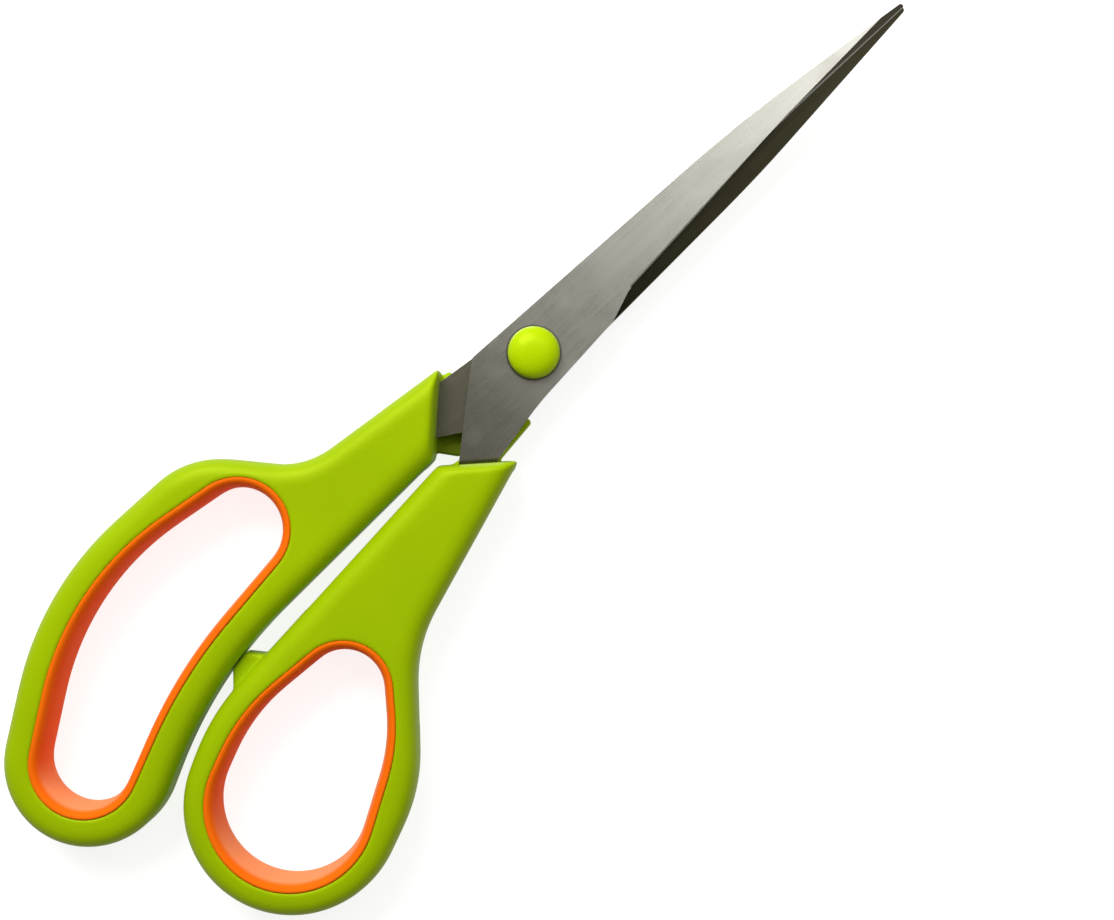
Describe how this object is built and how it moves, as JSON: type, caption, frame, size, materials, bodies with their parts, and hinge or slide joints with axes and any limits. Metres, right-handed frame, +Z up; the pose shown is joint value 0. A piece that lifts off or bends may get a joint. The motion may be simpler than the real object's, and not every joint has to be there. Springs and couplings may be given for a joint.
{
  "type": "office scissors",
  "caption": "Office scissors: pointed steel blades on a capped rivet, hard plastic handles with soft-lined finger loops, one teardrop and one long, and a stop tab between them.",
  "frame": {"origin": "centre of the closed scissors' outline, on the surface that they lie on", "axes": "+Y along the closed blades towards the tips, +X towards the teardrop-shaped loop, +Z up, out of the face with the pivot cap"},
  "size_m": [0.0792, 0.2174, 0.0124],
  "materials": {
    "blade_steel": "stamped stainless steel, ground along its length",
    "rivet_steel": "plain turned steel",
    "lime_plastic": "satin moulded plastic",
    "lime_cap": "glossy moulded plastic",
    "orange_rubber": "soft moulded rubber",
    "nylon": "natural nylon"
  },
  "bodies": {
    "back_half": {"back_blade": "blade_steel", "back_handle": "lime_plastic", "back_grip": "orange_rubber", "pivot_rivet": "rivet_steel", "pivot_cap": "lime_cap", "spring_washer": "rivet_steel", "bearing_washer": "nylon", "rivet_washer": "rivet_steel"},
    "front_half": {"front_blade": "blade_steel", "front_handle": "lime_plastic", "front_grip": "orange_rubber"}
  },
  "joints": [
    {"name": "pivot", "type": "hinge", "parent": "back_half", "child": "front_half", "pos_m": [-0.01005, 0.0162, 0.0062], "axis": [0, 0, 1], "range_deg": [0, 105]}
  ]
}
